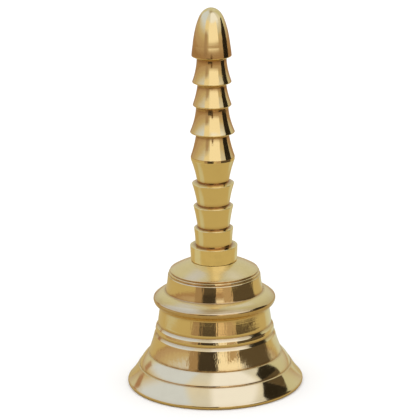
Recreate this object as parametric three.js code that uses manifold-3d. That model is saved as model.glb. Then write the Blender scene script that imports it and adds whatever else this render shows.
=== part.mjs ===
// Temple hand bell: a turned brass bell bolted to a turned brass handle, with a clapper hung
// inside it on a link. Lengths are in millimetres and +Z is up. The origin is the centre of
// the mouth, in the plane of the rim that the bell stands on.

import * as THREE from "three";
import { mergeVertices } from "three/addons/utils/BufferGeometryUtils.js";
import Module from "manifold-3d";

// How finely round work is divided
const TURNED_SIDES = 40; // around the bell and the handle
const SMALL_SIDES = 24; // around the washer, the clapper ball and its nut
const WIRE_SIDES = 8; // around a wire, shank or rod
const RING_STEPS = 24; // along a ring of wire
const CURVE_STEPS = 3; // along each curved stretch of a turned outline

const FIT_GAP = 0.3; // left between two pieces that touch

// Bell, as [radius, height] from the mouth up. A stretch runs from one edge to the next and
// bends towards its bow point.
const RIM_INNER_RADIUS = 31.5; // the flat rim runs from here to the foot of the lip
const LIP = { from: [34.4, 0], bow: [35.5, 1.0], to: [34.5, 1.9] };
const LOWER_FLARE = { from: [34.4, 2.0], bow: [31.9, 4.2], to: [30.6, 7.5] };
const UPPER_FLARE = { from: [30.1, 7.7], bow: [30.0, 9.8], to: [26.6, 12.8] };
const LOWER_WAIST = { from: [26.4, 12.9], bow: [24.8, 16.9], to: [24.1, 20.2] };
const LOWER_GROOVE = [23.3, 21.4];
const WAIST_BEAD = { foot: [23.6, 22.5], head: [23.3, 23.7] };
const UPPER_GROOVE = [22.4, 24.7];
const UPPER_WAIST = { from: [22.5, 25.8], bow: [21.7, 29.0], to: [21.7, 31.8] };
const RING_UNDERSIDE = { from: [21.9, 32.1], bow: [23.9, 32.9], to: [24.2, 34.6] };
const RING_TOP = { from: [24.0, 35.3], bow: [22.4, 37.3], to: [19.4, 38.2] };
const DRUM = { from: [19.3, 38.3], bow: [18.6, 40.0], to: [18.4, 43.2] };
const CROWN_BEAD = { foot: [17.8, 44.2], head: [17.8, 45.6] };
const CROWN = { from: [17.5, 46.4], bow: [13.9, 48.7], to: [9.1, 50.3] };
const CROWN_BORE_RADIUS = 2.9;

// Inside of the bell, from the ceiling down
const CEILING_RADIUS = 9.5;
const CEILING_HEIGHT = 47.0;
const SHOULDER = { from: [9.5, 47.0], bow: [15.2, 46.6], to: [15.9, 42.4] };
const BARREL = { from: [15.9, 42.4], bow: [16.2, 35.5], to: [18.7, 30.4] };
const SKIRT = { from: [18.7, 30.4], bow: [20.6, 22.0], to: [23.2, 14.2] };
const SOUND_BOW = { from: [23.2, 14.2], bow: [27.8, 8.3], to: [31.2, 1.6] };

// Handle, one casting: a foot that stands on the crown, three cups, a double cone, three
// cones and a finial. Each stretch is one turned face, from the foot up.
const FOOT_HEIGHT = CROWN.to[1] + FIT_GAP;
const FOOT = { radius: 9.1, rim: [9.35, 56.6], top: [7.4, 56.75] };
const CUPS = [
  { from: [7.2, 56.8], bow: [7.3, 60.7], to: [7.75, 63.7] },
  { from: [6.3, 64.1], bow: [6.9, 69.0], to: [7.85, 72.7] },
  { from: [6.3, 73.2], bow: [6.95, 77.8], to: [8.3, 81.9] },
];
const DOUBLE_CONE = [
  { from: [6.25, 82.6], bow: [6.9, 87.1], to: [8.6, 91.6] },
  { from: [8.6, 92.7], bow: [7.2, 96.7], to: [6.45, 100.6] },
];
const CONES = [
  { neck: [6.6, 101.6], from: [8.8, 102.4], bow: [6.7, 107.0], to: [6.35, 110.8] },
  { neck: [6.4, 112.6], from: [7.6, 113.2], bow: [6.15, 117.3], to: [5.65, 120.9] },
  { neck: [5.75, 121.5], from: [7.7, 122.3], bow: [5.95, 127.0], to: [5.8, 131.3] },
];
const FINIAL = {
  neck: [5.95, 131.8],
  band: { from: [7.8, 132.7], bow: [7.65, 134.9], to: [7.3, 137.1] },
  swell: { from: [7.3, 137.1], bow: [6.6, 143.4], to: [4.7, 147.9] },
  nose: { from: [4.7, 147.9], bow: [3.0, 151.4], to: [0, 151.5] },
};
const HANDLE_BORE = { radius: 2.7, top: 62.5 }; // tapped hole for the hanger's shank

// Hanger: an eye bolt that clamps the bell to the handle and carries the clapper
const SHANK = { radius: 2.4, top: 62.0 };
const HANGER_EYE = { ring: 2.8, wire: 0.8 };
const WASHER = { inner: 2.7, outer: 6.0, thickness: 1.0 };
const NUT = { inner: 2.7, acrossFlats: 8.0, height: 3.0 };

// Clapper: a link in the hanger's eye, then a rod with an eye at its head and a ball at its foot
const LINK = { ring: 3.6, wire: 0.7 };
const CLAPPER_EYE = { ring: 2.6, wire: 0.8 };
const ROD_RADIUS = 1.3;
const BALL = { radius: 7.5, height: 11.6, bore: 1.6 };
const END_NUT = { radius: 2.6, bore: 1.6, top: 3.8, bottom: 1.6 };
const ROD_FOOT = 2.2;

const washerTop = CEILING_HEIGHT - FIT_GAP;
const nutTop = washerTop - WASHER.thickness - FIT_GAP;
const eyeHeight = nutTop - NUT.height - FIT_GAP - HANGER_EYE.wire - HANGER_EYE.ring;
const linkHeight = hungHeight(eyeHeight, HANGER_EYE, LINK);
const clapperEyeHeight = hungHeight(linkHeight, LINK, CLAPPER_EYE);

const BRASS = { color: 0xd0a955, roughness: 0.16, metalness: 1.0 };
const WIRE_BRASS = { color: 0xc39a48, roughness: 0.28, metalness: 1.0 };
const STEEL = { color: 0x9c9a94, roughness: 0.35, metalness: 1.0 };

const wasm = await Module();
wasm.setup();

/** The height of a ring's centre when it hangs on the lowest wire of the ring above it. */
function hungHeight(upperHeight, upper, lower) {
  const lowestWire = upperHeight - upper.ring;
  return lowestWire + upper.wire + FIT_GAP + lower.wire - lower.ring;
}

/** Adds a straight cut to the start of a stretch, then its curved face. */
function addStretch(path, { from, bow, to }) {
  path.lineTo(...from);
  path.quadraticCurveTo(...bow, ...to);
}

/** Turns an outline of radius and height into a solid of revolution about Z. */
function turned(path, sides) {
  const geometry = new THREE.LatheGeometry(path.getPoints(CURVE_STEPS), sides);
  return geometry.rotateX(Math.PI / 2);
}

/** A plain ring or disc with a hole, from one height to another. */
function collar(inner, outer, bottom, top, sides) {
  const path = new THREE.Path();
  path.moveTo(inner, bottom);
  path.lineTo(outer, bottom);
  path.lineTo(outer, top);
  path.lineTo(inner, top);
  path.lineTo(inner, bottom);
  return turned(path, sides);
}

/** A straight round bar along Z. */
function bar(radius, bottom, top) {
  const geometry = new THREE.CylinderGeometry(radius, radius, top - bottom, WIRE_SIDES);
  return geometry.rotateX(Math.PI / 2).translate(0, 0, (bottom + top) / 2);
}

/** A ring of wire, upright in the XZ plane, or in the YZ plane when it is turned a quarter. */
function wireRing({ ring, wire }, height, quarterTurn) {
  const geometry = new THREE.TorusGeometry(ring, wire, WIRE_SIDES, RING_STEPS);
  geometry.rotateX(Math.PI / 2);
  if (quarterTurn) {
    geometry.rotateZ(Math.PI / 2);
  }
  return geometry.translate(0, 0, height);
}

/** The solid of a closed geometry, with its shared vertices merged. */
function solidOf(geometry) {
  const bare = geometry.clone();
  bare.deleteAttribute("normal");
  bare.deleteAttribute("uv");
  const merged = mergeVertices(bare, 1e-4);
  const mesh = new wasm.Mesh({
    numProp: 3,
    vertProperties: merged.attributes.position.array,
    triVerts: Uint32Array.from(merged.index.array),
  });
  return new wasm.Manifold(mesh);
}

/** One geometry from two that run into each other. */
function joined(first, second) {
  const mesh = solidOf(first).add(solidOf(second)).getMesh();
  const geometry = new THREE.BufferGeometry();
  geometry.setAttribute("position", new THREE.BufferAttribute(mesh.vertProperties, 3));
  geometry.setIndex(new THREE.BufferAttribute(mesh.triVerts, 1));
  return geometry;
}

/** The cast and turned shell, bored through its crown. */
function bellBody() {
  const path = new THREE.Path();
  path.moveTo(RIM_INNER_RADIUS, 0);
  for (const stretch of [LIP, LOWER_FLARE, UPPER_FLARE, LOWER_WAIST]) {
    addStretch(path, stretch);
  }
  for (const edge of [LOWER_GROOVE, WAIST_BEAD.foot, WAIST_BEAD.head, UPPER_GROOVE]) {
    path.lineTo(...edge);
  }
  for (const stretch of [UPPER_WAIST, RING_UNDERSIDE, RING_TOP, DRUM]) {
    addStretch(path, stretch);
  }
  path.lineTo(...CROWN_BEAD.foot);
  path.lineTo(...CROWN_BEAD.head);
  addStretch(path, CROWN);
  path.lineTo(CROWN_BORE_RADIUS, CROWN.to[1]);
  path.lineTo(CROWN_BORE_RADIUS, CEILING_HEIGHT);
  path.lineTo(CEILING_RADIUS, CEILING_HEIGHT);
  for (const stretch of [SHOULDER, BARREL, SKIRT, SOUND_BOW]) {
    path.quadraticCurveTo(...stretch.bow, ...stretch.to);
  }
  path.lineTo(RIM_INNER_RADIUS, 0);
  return turned(path, TURNED_SIDES);
}

/** The handle casting, with the tapped hole in its foot. */
function handle() {
  const path = new THREE.Path();
  path.moveTo(0, HANDLE_BORE.top);
  path.lineTo(HANDLE_BORE.radius, HANDLE_BORE.top);
  path.lineTo(HANDLE_BORE.radius, FOOT_HEIGHT);
  path.lineTo(FOOT.radius, FOOT_HEIGHT);
  path.lineTo(...FOOT.rim);
  path.lineTo(...FOOT.top);
  for (const stretch of [...CUPS, ...DOUBLE_CONE]) {
    addStretch(path, stretch);
  }
  for (const cone of CONES) {
    path.lineTo(...cone.neck);
    addStretch(path, cone);
  }
  path.lineTo(...FINIAL.neck);
  addStretch(path, FINIAL.band);
  path.quadraticCurveTo(...FINIAL.swell.bow, ...FINIAL.swell.to);
  path.quadraticCurveTo(...FINIAL.nose.bow, ...FINIAL.nose.to);
  return turned(path, TURNED_SIDES);
}

/** The eye bolt: a shank up through the crown into the handle, and an eye under the nut. */
function hangerBolt() {
  const shank = bar(SHANK.radius, eyeHeight + HANGER_EYE.ring, SHANK.top);
  return joined(shank, wireRing(HANGER_EYE, eyeHeight, true));
}

/** The hexagonal nut that draws the crown up against the handle. */
function crownNut() {
  const hexagon = new THREE.Shape();
  const cornerRadius = NUT.acrossFlats / Math.sqrt(3);
  for (let corner = 0; corner < 6; corner += 1) {
    const angle = (corner * Math.PI) / 3;
    const x = cornerRadius * Math.cos(angle);
    const y = cornerRadius * Math.sin(angle);
    if (corner === 0) {
      hexagon.moveTo(x, y);
    } else {
      hexagon.lineTo(x, y);
    }
  }
  hexagon.closePath();
  hexagon.holes.push(new THREE.Path().absarc(0, 0, NUT.inner, 0, 2 * Math.PI, true));
  const options = { depth: NUT.height, bevelEnabled: false, curveSegments: SMALL_SIDES };
  const geometry = new THREE.ExtrudeGeometry(hexagon, options);
  return geometry.translate(0, 0, nutTop - NUT.height);
}

/** The clapper's rod, from the eye at its head to the thread at its foot. */
function clapperRod() {
  const rod = bar(ROD_RADIUS, ROD_FOOT, clapperEyeHeight - CLAPPER_EYE.ring);
  return joined(rod, wireRing(CLAPPER_EYE, clapperEyeHeight, true));
}

/** The clapper's ball, bored to slide up the rod. */
function clapperBall() {
  const poleAngle = Math.asin(BALL.bore / BALL.radius);
  const path = new THREE.Path();
  const rise = BALL.radius * Math.cos(poleAngle);
  const steps = SMALL_SIDES / 2;
  path.moveTo(BALL.bore, BALL.height + rise);
  path.lineTo(BALL.bore, BALL.height - rise);
  for (let step = 1; step <= steps; step += 1) {
    const angle = poleAngle + (step / steps) * (Math.PI - 2 * poleAngle);
    const radius = BALL.radius * Math.sin(angle);
    path.lineTo(radius, BALL.height - BALL.radius * Math.cos(angle));
  }
  return turned(path, SMALL_SIDES);
}

/** Puts a named piece of the given metal into the assembly. */
function addPiece(assembly, name, geometry, metal) {
  const mesh = new THREE.Mesh(geometry, new THREE.MeshStandardMaterial(metal));
  mesh.name = name;
  assembly.add(mesh);
}

const washer = collar(
  WASHER.inner, WASHER.outer, washerTop - WASHER.thickness, washerTop, SMALL_SIDES,
);
const link = wireRing(LINK, linkHeight, false);
const endNut = collar(END_NUT.bore, END_NUT.radius, END_NUT.bottom, END_NUT.top, SMALL_SIDES);

const templeBell = new THREE.Group();
addPiece(templeBell, "bell_body", bellBody(), BRASS);
addPiece(templeBell, "handle", handle(), BRASS);
addPiece(templeBell, "hanger_bolt", hangerBolt(), WIRE_BRASS);
addPiece(templeBell, "crown_washer", washer, WIRE_BRASS);
addPiece(templeBell, "crown_nut", crownNut(), WIRE_BRASS);
addPiece(templeBell, "clapper_link", link, STEEL);
addPiece(templeBell, "clapper_rod", clapperRod(), STEEL);
addPiece(templeBell, "clapper_ball", clapperBall(), BRASS);
addPiece(templeBell, "clapper_end_nut", endNut, WIRE_BRASS);

export default templeBell;
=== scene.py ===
"""A turned and polished brass temple hand bell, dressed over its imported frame.

Every piece is turned or bent from a few vertices, in metres, in the frame's own axes.
"""

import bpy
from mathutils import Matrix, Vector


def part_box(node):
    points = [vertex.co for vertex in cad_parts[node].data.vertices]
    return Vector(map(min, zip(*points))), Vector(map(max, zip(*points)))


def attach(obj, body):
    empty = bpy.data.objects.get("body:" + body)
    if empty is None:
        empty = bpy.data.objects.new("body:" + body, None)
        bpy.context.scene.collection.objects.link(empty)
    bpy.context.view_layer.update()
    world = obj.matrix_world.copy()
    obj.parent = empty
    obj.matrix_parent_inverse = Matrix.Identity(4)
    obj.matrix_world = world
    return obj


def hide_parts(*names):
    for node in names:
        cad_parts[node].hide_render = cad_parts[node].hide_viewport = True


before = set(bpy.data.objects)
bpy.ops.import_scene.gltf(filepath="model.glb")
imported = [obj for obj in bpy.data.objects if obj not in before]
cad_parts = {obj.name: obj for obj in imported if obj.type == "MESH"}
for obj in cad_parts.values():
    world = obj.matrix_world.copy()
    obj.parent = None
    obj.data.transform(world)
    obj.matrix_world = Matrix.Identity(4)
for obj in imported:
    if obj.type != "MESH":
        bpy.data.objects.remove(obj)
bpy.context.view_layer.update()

import logging
import math
from dataclasses import dataclass, field
from enum import Enum
from typing import Iterable, Sequence

import bmesh
import bpy
from mathutils import Matrix, Vector

LOG = logging.getLogger("temple_bell")

MM = 0.001
FULL_TURN = 2.0 * math.pi
BOW_STEPS = 12
EASING_SEGMENTS = 3
RING_STEPS = 64
WIRE_SIDES = 20
FLOOR_SIDES = 96
THREAD_STEPS = 36
MERGE_DISTANCE = 1e-6
FLATNESS = 1e-5
CLIP_START = 0.01
CLIP_END = 20.0
FACING_ALONG = 0.9

CORNER_TURN = math.radians(14)
FULL_CORNER = math.radians(70)
CREASE_REACH = 0.55 * MM
RIM_REACH = 0.3 * MM

AXIS_X = (1.0, 0.0, 0.0)
AXIS_Y = (0.0, 1.0, 0.0)
AXIS_Z = (0.0, 0.0, 1.0)

Colour = tuple[float, float, float]
Corner = tuple[float, float]
Place = tuple[float, float, float]
Span = tuple[float, float]

DUST_COLOUR: Colour = (0.62, 0.60, 0.56)
DUST_ROUGHNESS = 0.6
RUBBED_GAIN = 1.12
LINE_BREAKS = 0.45
POLISH_WAVES = 55.0
SHELF_SLOPE: Span = (0.8, 0.93)


class Body(Enum):
    """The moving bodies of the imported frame."""

    BELL = "bell"
    LINK = "link"
    CLAPPER = "clapper"


class Slot(Enum):
    """The record's material slots."""

    BELL_BRASS = "bell_brass"
    HANDLE_BRASS = "handle_brass"
    FASTENER_BRASS = "fastener_brass"
    CLAPPER_BRASS = "clapper_brass"
    WIRE_STEEL = "wire_steel"


class Arris(Enum):
    """How far a turned corner is eased, in millimetres."""

    SHARP = 0.0
    CRISP = 0.08
    EASED = 0.16
    SOFT = 0.32
    ROUND = 0.7


# ---------------------------------------------------------------- outlines and turning


@dataclass
class Outline:
    """Half of a turned section, drawn point by point as radius and height.

    Args:
        foot: Height of the piece's own foot in the frame, in metres.
        points: The points so far, each as radius and height, in metres.
        painted_dark_bands: Middle, reach and depth of each painted dark band, which is painted shade or a
            painted darker reflection.
        easing: How far each point's corner is eased, in metres.
    """

    foot: float
    points: list[Corner] = field(default_factory=list)
    painted_dark_bands: list[tuple[Vector, float, float]] = field(default_factory=list)
    easing: list[float] = field(default_factory=list)

    def to(self, radius: float, height: float, arris: Arris = Arris.SHARP) -> "Outline":
        """Draws a straight cut to a point, given in millimetres over the foot.

        Args:
            radius: Distance from the axis, in millimetres.
            height: Height above the foot, in millimetres.
            arris: How the corner at this point is eased.

        Returns:
            The outline itself, so that cuts can follow each other.
        """
        self.points.append((radius * MM, self.foot + height * MM))
        self.easing.append(arris.value * MM)
        return self

    def bow(self, bend: Corner, end: Corner, arris: Arris = Arris.SHARP,
            steps: int = BOW_STEPS) -> "Outline":
        """Draws a curved cut from the last point towards a bend and on to an end.

        Args:
            bend: The point that pulls the curve, in millimetres over the foot.
            end: Where the curve ends, in millimetres over the foot.
            arris: How the corner at the end is eased.
            steps: Number of short cuts that make the curve.

        Returns:
            The outline itself.
        """
        start_radius = self.points[-1][0] / MM
        start_height = (self.points[-1][1] - self.foot) / MM
        for step in range(1, steps + 1):
            t = step / steps
            near, middle, far = (1 - t) ** 2, 2 * t * (1 - t), t * t
            radius = near * start_radius + middle * bend[0] + far * end[0]
            height = near * start_height + middle * bend[1] + far * end[1]
            self.to(radius, height, arris if step == steps else Arris.SHARP)
        return self

    def painted_dark_band(self, radius: float, height: float, reach: float, depth: float) -> "Outline":
        """Marks a band of the section that is darkened towards the tarnish colour, as painted shade or a
        painted darker reflection.

        Args:
            radius: Radius of the band's middle, in millimetres.
            height: Height of its middle over the foot, in millimetres.
            reach: How far it fades out, in millimetres.
            depth: How brown its middle is, from 0 to 1.

        Returns:
            The outline itself.
        """
        self.painted_dark_bands.append((Vector((radius * MM, self.foot + height * MM)), reach * MM, depth))
        return self

    def corners(self, closed: bool) -> list[tuple[Vector, float]]:
        """Finds the corners, with how sharply each turns: rims positive, creases negative.

        Args:
            closed: Whether the last point joins the first.

        Returns:
            Each corner's place as radius and height, and its turn in radians.
        """
        found = []
        count = len(self.points)
        following = self.points[1:] + self.points[:1]
        swept = sum(a[0] * b[1] - b[0] * a[1] for a, b in zip(self.points, following))
        first, last = (0, count) if closed else (1, count - 1)
        for i in range(first, last):
            here = Vector(self.points[i])
            before = here - Vector(self.points[i - 1])
            after = Vector(self.points[(i + 1) % count]) - here
            if before.length > 0 and after.length > 0:
                turn = math.copysign(before.angle(after), before.cross(after) * swept)
                if abs(turn) > CORNER_TURN:
                    found.append((here, turn))
        return found


@dataclass(frozen=True)
class Turning:
    """Spins an outline about the bell's upright axis into a closed shell.

    Args:
        outline: The section to spin.
        sides: Number of flats around the turn.
        closed: Whether the section is a closed loop, as for a bored piece.
    """

    outline: Outline
    sides: int
    closed: bool

    def spin(self) -> bmesh.types.BMesh:
        """Draws the section as a wire, eases its corners and spins it.

        Returns:
            A closed bmesh with its normals outward and its rims and creases marked.
        """
        shell = bmesh.new()
        wire = [shell.verts.new((radius, 0.0, height)) for radius, height in self.outline.points]
        for a, b in zip(wire[:-1], wire[1:]):
            shell.edges.new((a, b))
        if self.closed:
            shell.edges.new((wire[-1], wire[0]))
        for vertex, easing in zip(wire, self.outline.easing):
            if easing > 0.0:
                bmesh.ops.bevel(
                    shell, geom=[vertex], offset=easing, offset_type="OFFSET", segments=EASING_SEGMENTS,
                    affect="VERTICES", profile=0.5, material=-1,
                )
        bmesh.ops.spin(
            shell, geom=shell.verts[:] + shell.edges[:], cent=(0, 0, 0), axis=AXIS_Z,
            angle=FULL_TURN, steps=self.sides, use_merge=True, use_duplicate=False,
        )
        bmesh.ops.remove_doubles(shell, verts=shell.verts, dist=MERGE_DISTANCE)
        bmesh.ops.recalc_face_normals(shell, faces=shell.faces)
        self.mark_corners(shell)
        return shell

    def mark_corners(self, shell: bmesh.types.BMesh) -> None:
        """Writes how near each vertex is to a crease or a painted dark band, and to a rim, into two
        attributes.

        Args:
            shell: The spun shell.
        """
        crease = shell.verts.layers.float.new("crease")
        rim = shell.verts.layers.float.new("rim")
        corners = self.outline.corners(self.closed)
        known: dict[Corner, Corner] = {}
        for vertex in shell.verts:
            place = (round(math.hypot(vertex.co.x, vertex.co.y), 6), round(vertex.co.z, 6))
            if place not in known:
                known[place] = self.nearness(Vector(place), corners, self.outline.painted_dark_bands)
            vertex[crease], vertex[rim] = known[place]

    @staticmethod
    def nearness(place: Vector, corners: Iterable[tuple[Vector, float]],
                 painted_dark_bands: Iterable[tuple[Vector, float, float]]) -> Corner:
        """Measures how near a point of the section is to its creases and rims.

        Args:
            place: Radius and height of the point.
            corners: Corner places with their turns.
            painted_dark_bands: Middle, reach and depth of each painted dark band.

        Returns:
            Nearness to a crease or a painted dark band, and to a rim, each from 0 to 1.
        """
        crease = rim = 0.0
        for corner, turn in corners:
            gap = (place - corner).length
            weight = min(1.0, abs(turn) / FULL_CORNER)
            if turn > 0:
                rim = max(rim, weight * math.exp(-((gap / RIM_REACH) ** 2)))
            else:
                crease = max(crease, weight * math.exp(-((gap / CREASE_REACH) ** 2)))
        # Painted dark bands of shade or darker reflection join the crease mark.
        for middle, reach, depth in painted_dark_bands:
            crease = max(crease, depth * math.exp(-(((place - middle).length / reach) ** 2)))
        return crease, rim


def bent_ring(centre: Vector, axis: Sequence[float], radius: float, wire: float) -> bmesh.types.BMesh:
    """Bends round wire into a closed ring.

    Args:
        centre: Middle of the ring.
        axis: Direction that the ring's hole faces.
        radius: Radius of the wire's middle line.
        wire: Radius of the wire.

    Returns:
        A closed bmesh of the ring.
    """
    ring = bmesh.new()
    normal = Vector(axis)
    across = Vector(AXIS_Z)
    tilt = Vector(AXIS_Z).rotation_difference(normal.cross(across)).to_matrix().to_4x4()
    place = Matrix.Translation(centre + across * radius) @ tilt
    bmesh.ops.create_circle(ring, segments=WIRE_SIDES, radius=wire, matrix=place)
    bmesh.ops.spin(
        ring, geom=ring.verts[:] + ring.edges[:], cent=centre, axis=normal,
        angle=FULL_TURN, steps=RING_STEPS, use_merge=True, use_duplicate=False,
    )
    bmesh.ops.remove_doubles(ring, verts=ring.verts, dist=MERGE_DISTANCE)
    bmesh.ops.recalc_face_normals(ring, faces=ring.faces)
    return ring


def cut_thread(crest: float, pitch: float, foot: float, turns: int) -> bmesh.types.BMesh:
    """Winds one screw thread as a ridge that a plain core then fills.

    Args:
        crest: Radius over the thread's crests.
        pitch: Rise in one turn.
        foot: Height where the thread starts.
        turns: Number of turns.

    Returns:
        A closed bmesh of the ridge.
    """
    thread = bmesh.new()
    root = crest - 0.9 * pitch
    half_crest = 0.08 * pitch
    middle = foot + 0.5 * pitch
    section = [
        (root, foot),
        (crest, middle - half_crest),
        (crest, middle + half_crest),
        (root, foot + pitch),
    ]
    tooth = [thread.verts.new((radius, 0.0, height)) for radius, height in section]
    face = thread.faces.new(tooth)
    steps = THREAD_STEPS * turns
    bmesh.ops.spin(
        thread, geom=[face], cent=(0, 0, 0), axis=AXIS_Z, angle=FULL_TURN * turns,
        dvec=(0.0, 0.0, pitch * turns / steps), steps=steps, use_merge=False, use_duplicate=False,
    )
    bmesh.ops.recalc_face_normals(thread, faces=thread.faces)
    return thread


def joined(parts: Sequence[bmesh.types.BMesh]) -> bmesh.types.BMesh:
    """Brings several meshes together in one and frees them.

    Args:
        parts: The meshes, all in the frame's own place.

    Returns:
        One bmesh that holds them all.
    """
    whole = bmesh.new()
    for part in parts:
        shuttle = bpy.data.meshes.new("shuttle")
        part.to_mesh(shuttle)
        part.free()
        whole.from_mesh(shuttle)
        bpy.data.meshes.remove(shuttle)
    return whole


def broad_face_normal(vertex: bmesh.types.BMVert) -> Vector:
    """Finds the shading normal of a vertex, led by its broadest faces, so that flats stay flat.

    Args:
        vertex: A vertex of the finished mesh.

    Returns:
        The normal.
    """
    lead = Vector((0.0, 0.0, 0.0))
    for face in vertex.link_faces:
        lead += face.normal * face.calc_area()
    return lead.normalized() if lead.length > 0 else vertex.normal.copy()


def linked_object(name: str, shape: bmesh.types.BMesh, finish: bpy.types.Material) -> bpy.types.Object:
    """Makes a shape an object of the scene in its finish, and frees the shape.

    Args:
        name: Name of the object and its mesh.
        shape: The shape, in the frame's own place.
        finish: Its material.

    Returns:
        The object, at the origin, unturned and unscaled.
    """
    data = bpy.data.meshes.new(name)
    shape.to_mesh(data)
    shape.free()
    data.materials.append(finish)
    thing = bpy.data.objects.new(name, data)
    bpy.context.scene.collection.objects.link(thing)
    return thing


def put_on_show(name: str, mesh: bmesh.types.BMesh, body: Body, node: str,
                finish: bpy.types.Material) -> bpy.types.Object:
    """Makes the finished mesh an object that stands for its frame node.

    Args:
        name: Name of the piece.
        mesh: Its mesh, which is freed.
        body: The body that it rides on.
        node: The frame node that it stands for.
        finish: Its material.

    Returns:
        The finished object.
    """
    mesh.normal_update()
    shading = [broad_face_normal(vertex) for vertex in mesh.verts]
    piece = linked_object(name, mesh, finish)
    for face in piece.data.polygons:
        face.use_smooth = True
    piece.data.normals_split_custom_set_from_vertices(shading)
    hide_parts(node)
    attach(piece, body.value)
    LOG.info("%s: %d faces, rides on %s, stands for %s", name, len(piece.data.polygons), body.value, node)
    return piece


# ---------------------------------------------------------------- shader building


class Graph:
    """A node tree with short ways to add and join nodes."""

    def __init__(self, tree: bpy.types.NodeTree) -> None:
        """Keeps the tree that nodes are added to."""
        self.tree = tree

    def feed(self, node: bpy.types.Node, key: str | int, value: object) -> None:
        """Links an output socket to a node's input, or sets the input to a plain value.

        Args:
            node: The node to feed.
            key: Name or number of its input.
            value: An output socket or a value.
        """
        if isinstance(value, bpy.types.NodeSocket):
            self.tree.links.new(value, node.inputs[key])
        else:
            node.inputs[key].default_value = value

    def add(self, kind: str, inputs: dict[str | int, object] | None = None,
            **settings: object) -> bpy.types.Node:
        """Adds a node, sets its options and fills or links its inputs.

        Args:
            kind: Blender's node type.
            inputs: A value or an output socket for each named or numbered input.
            **settings: Options of the node itself.

        Returns:
            The node.
        """
        node = self.tree.nodes.new(kind)
        for option, value in settings.items():
            setattr(node, option, value)
        for key, value in (inputs or {}).items():
            self.feed(node, key, value)
        return node

    def noise(self, place: bpy.types.NodeSocket, scale: object, detail: float,
              dimensions: str = "3D", **further: float) -> bpy.types.NodeSocket:
        """Adds a noise texture.

        Args:
            place: Where it is read.
            scale: How many lumps lie in a metre, as a number or a socket.
            detail: How many finer layers it has.
            dimensions: Blender's name for how many axes it follows.
            **further: Values for its other inputs.

        Returns:
            The socket of its factor.
        """
        inputs = {"Vector": place, "Scale": scale, "Detail": detail, **further}
        return self.add("ShaderNodeTexNoise", inputs, noise_dimensions=dimensions).outputs[0]

    def slope(self, normal: bpy.types.NodeSocket) -> bpy.types.NodeSocket:
        """Gives how far a normal points up, from -1 to 1."""
        return self.add("ShaderNodeSeparateXYZ", {0: normal}).outputs["Z"]

    def bump(self, height: bpy.types.NodeSocket, distance: float,
             normal: bpy.types.NodeSocket | None = None) -> bpy.types.NodeSocket:
        """Adds a bump over an earlier one, where there is one.

        Args:
            height: The height mask.
            distance: Its depth, in metres.
            normal: The normal that it starts from.

        Returns:
            The socket of the new normal.
        """
        inputs = {"Height": height, "Distance": distance, "Strength": 1.0}
        if normal is not None:
            inputs["Normal"] = normal
        return self.add("ShaderNodeBump", inputs).outputs[0]

    def clamped_sum(self, first: object, second: object) -> bpy.types.NodeSocket:
        """Adds two numbers and keeps the result between 0 and 1."""
        terms = {0: first, 1: second}
        return self.add("ShaderNodeMath", terms, operation="ADD", use_clamp=True).outputs[0]

    def sum(self, operation: str, *terms: object) -> bpy.types.NodeSocket:
        """Works out one number from others.

        Args:
            operation: Blender's name for the sum, such as MULTIPLY.
            *terms: Values or sockets, in order.

        Returns:
            The socket of the result.
        """
        return self.add("ShaderNodeMath", dict(enumerate(terms)), operation=operation).outputs[0]

    def smooth_step(self, value: object, low: object, high: object) -> bpy.types.NodeSocket:
        """Makes a mask with a soft rise.

        Args:
            value: The number that the mask follows.
            low: Where the mask is 0, in the value's own units.
            high: Where it is 1, which may lie below low.

        Returns:
            The socket of the mask.
        """
        inputs = {"Value": value, "From Min": low, "From Max": high}
        return self.add("ShaderNodeMapRange", inputs, interpolation_type="SMOOTHSTEP").outputs[0]

    def spread(self, value: object, low: float, high: float) -> bpy.types.NodeSocket:
        """Turns a mask into a number between two others.

        Args:
            value: The mask.
            low: The number where the mask is 0.
            high: The number where it is 1.

        Returns:
            The socket of the number.
        """
        inputs = {"Value": value, "To Min": low, "To Max": high}
        return self.add("ShaderNodeMapRange", inputs).outputs[0]

    def mix(self, mask: object, under: object, over: object) -> bpy.types.NodeSocket:
        """Lays one colour over another through a mask.

        Args:
            mask: How much of the upper colour shows.
            under: The lower colour.
            over: The upper colour.

        Returns:
            The socket of the mixed colour.
        """
        node = self.add("ShaderNodeMix", data_type="RGBA")
        for index, value in ((0, mask), (6, under), (7, over)):
            self.feed(node, index, value)
        return node.outputs[2]


def opaque(colour: Colour) -> tuple[float, float, float, float]:
    """Gives a colour its full alpha."""
    return (*colour, 1.0)


def blank_material(name: str) -> tuple[bpy.types.Material, Graph]:
    """Makes a material with no nodes in it yet.

    Args:
        name: Name of the material.

    Returns:
        The material and its graph.
    """
    material = bpy.data.materials.new(name)
    material.use_nodes = True
    material.node_tree.nodes.clear()
    return material, Graph(material.node_tree)


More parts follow.
